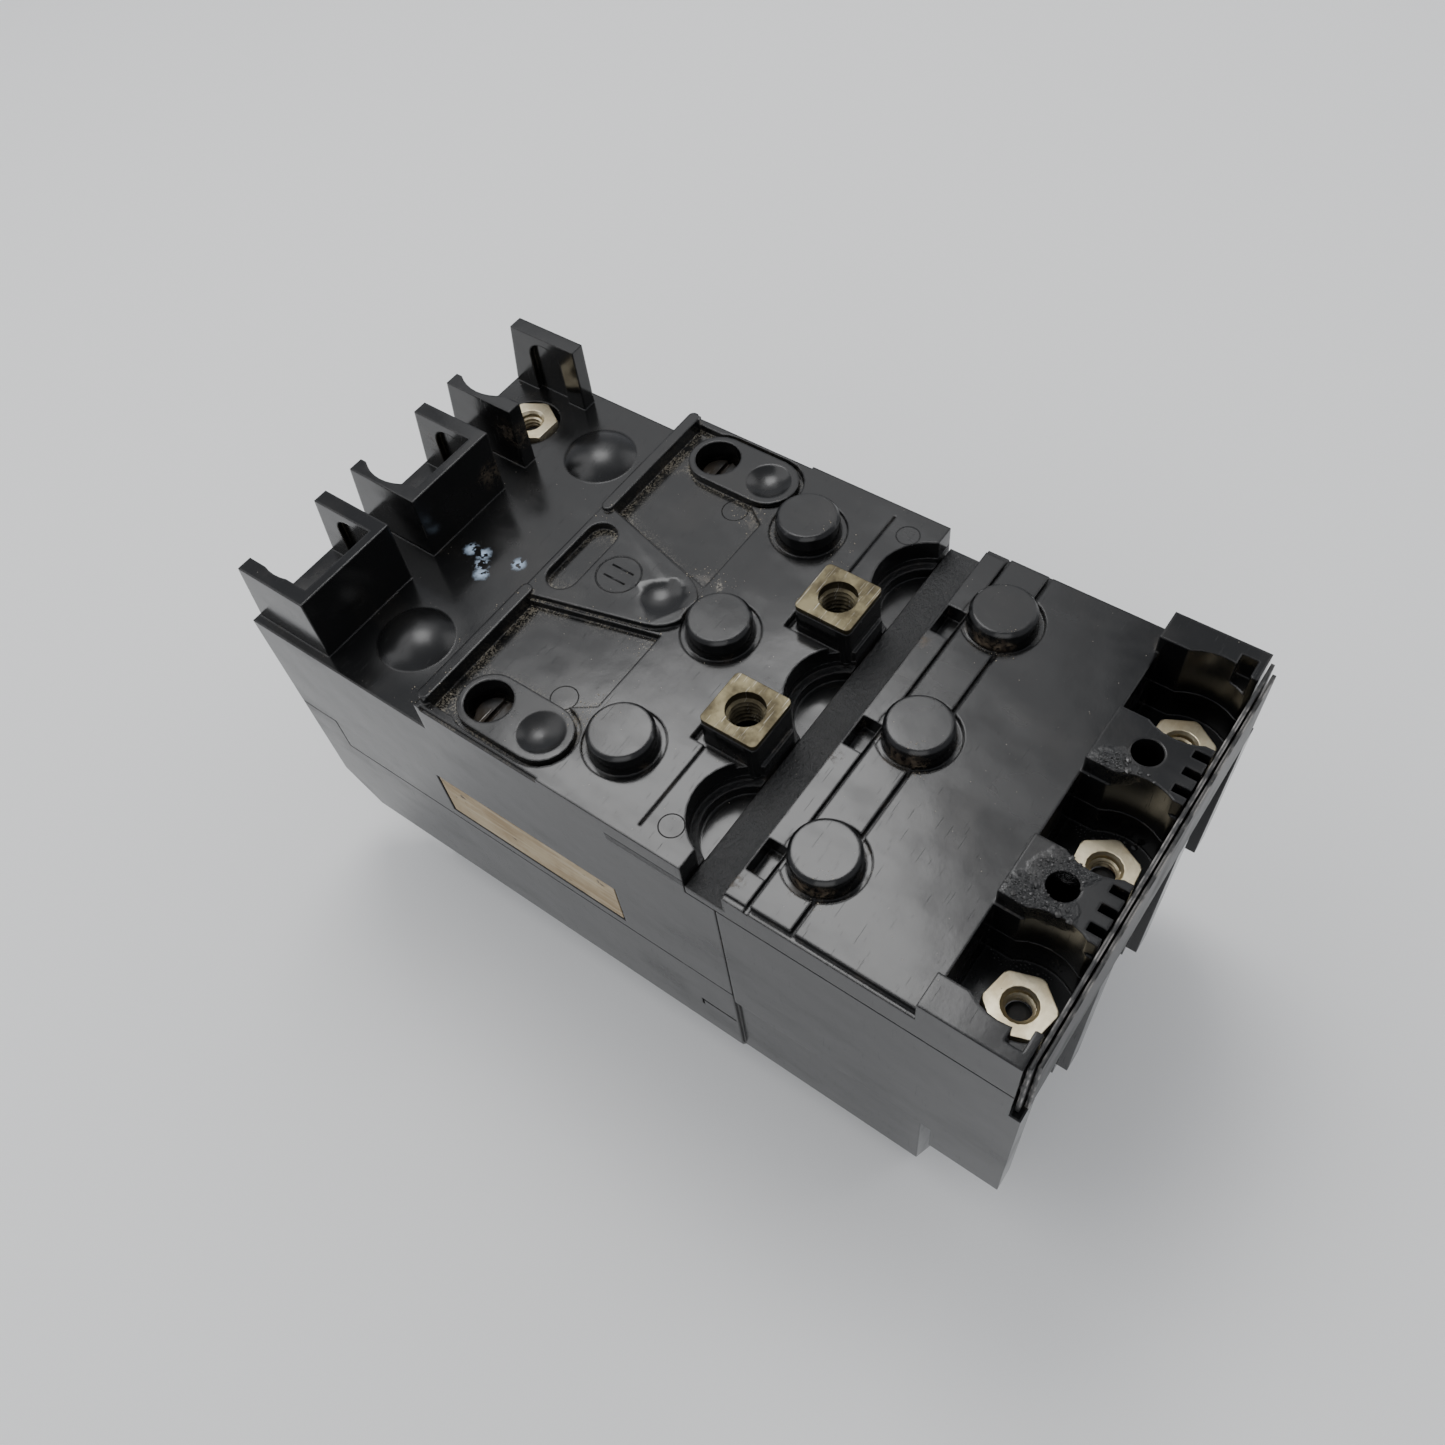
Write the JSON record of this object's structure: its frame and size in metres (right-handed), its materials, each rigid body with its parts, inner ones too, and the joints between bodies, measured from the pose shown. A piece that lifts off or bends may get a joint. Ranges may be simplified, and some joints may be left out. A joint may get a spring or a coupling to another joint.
{
  "type": "molded case breaker",
  "caption": "Molded case circuit breaker lying on its front, back face up, with hex terminal nuts, mounting inserts, toggle handle and trip button.",
  "frame": {"origin": "centre of the bounding box, on the plane of the front face that it lies on", "axes": "+X across the poles, +Y to the line end with the barrier fins, +Z out of the back face (up as it lies)"},
  "size_m": [0.0762, 0.152, 0.0833],
  "materials": {
    "black_phenolic": "glossy moulded, dusty",
    "black_handle": "satin moulded",
    "bronze_insert": "dull, scratched",
    "zinc_nut": "yellow zinc plate",
    "plated_steel": "satin",
    "black_steel": "blackened, dusty",
    "copper_strap": "satin copper",
    "silver_contact": "satin silver",
    "dark_fibre": "matte",
    "red_button": "gloss",
    "tan_label": "worn paper",
    "bimetal_strip": "satin"
  },
  "bodies": {
    "frame": {"arc_chute_1": "plated_steel", "arc_chute_2": "plated_steel", "arc_chute_3": "plated_steel", "barrier_sheet_1": "dark_fibre", "barrier_sheet_2": "dark_fibre", "base_housing": "black_phenolic", "bimetal_1": "bimetal_strip", "bimetal_2": "bimetal_strip", "bimetal_3": "bimetal_strip", "cover_screw_1": "plated_steel", "cover_screw_2": "plated_steel", "cover_screw_3": "plated_steel", "cover_screw_4": "plated_steel", "cradle_latch": "plated_steel", "fixed_contact_1": "silver_contact", "fixed_contact_2": "silver_contact", "fixed_contact_3": "silver_contact", "front_cover": "black_phenolic", "line_nut_1": "zinc_nut", "line_nut_2": "zinc_nut", "line_nut_3": "zinc_nut", "line_strap_1": "copper_strap", "line_strap_2": "copper_strap", "line_strap_3": "copper_strap", "link_bar_1": "copper_strap", "link_bar_2": "copper_strap", "link_bar_3": "copper_strap", "load_nut_1": "zinc_nut", "load_nut_2": "zinc_nut", "load_nut_3": "zinc_nut", "load_strap_1": "copper_strap", "load_strap_2": "copper_strap", "load_strap_3": "copper_strap", "magnet_yoke_1": "plated_steel", "magnet_yoke_2": "plated_steel", "magnet_yoke_3": "plated_steel", "mechanism_frame_1": "plated_steel", "mechanism_frame_2": "plated_steel", "mounting_insert_1": "bronze_insert", "mounting_insert_2": "bronze_insert", "pivot_pin": "plated_steel", "rear_plate": "black_phenolic", "rear_screw_1": "black_steel", "rear_screw_2": "black_steel", "side_label": "tan_label", "trip_housing": "black_phenolic"},
    "handle_assembly": {"handle": "black_handle", "handle_yoke": "plated_steel"},
    "contact_bar": {"crossbar": "dark_fibre", "contact_arm_1": "copper_strap", "contact_arm_2": "copper_strap", "contact_arm_3": "copper_strap", "moving_contact_1": "silver_contact", "moving_contact_2": "silver_contact", "moving_contact_3": "silver_contact"},
    "trip": {"trip_bar": "dark_fibre"},
    "button": {"trip_button": "red_button"}
  },
  "joints": [
    {"name": "handle_pivot", "type": "hinge", "parent": "frame", "child": "handle_assembly", "pos_m": [0, 0.005, 0.044], "axis": [1, 0, 0], "range_deg": [0, 32]},
    {"name": "contact_bar_pivot", "type": "hinge", "parent": "frame", "child": "contact_bar", "pos_m": [0, -0.004, 0.0511], "axis": [1, 0, 0], "range_deg": [0, 18]},
    {"name": "button_slide", "type": "slide", "parent": "frame", "child": "button", "axis": [0, 0, 1], "range_m": [0, 0.003], "stiffness_N_per_m": 200, "springref_m": -0.001},
    {"name": "trip_bar_pivot", "type": "hinge", "parent": "frame", "child": "trip", "pos_m": [0, -0.044, 0.044], "axis": [1, 0, 0], "range_deg": [0, 18]}
  ],
  "couplings": [
    {"joint": "contact_bar_pivot", "follows": "handle_pivot", "ratio": 0.5625},
    {"joint": "trip_bar_pivot", "follows": "button_slide", "rad_per_m": 104.5}
  ]
}
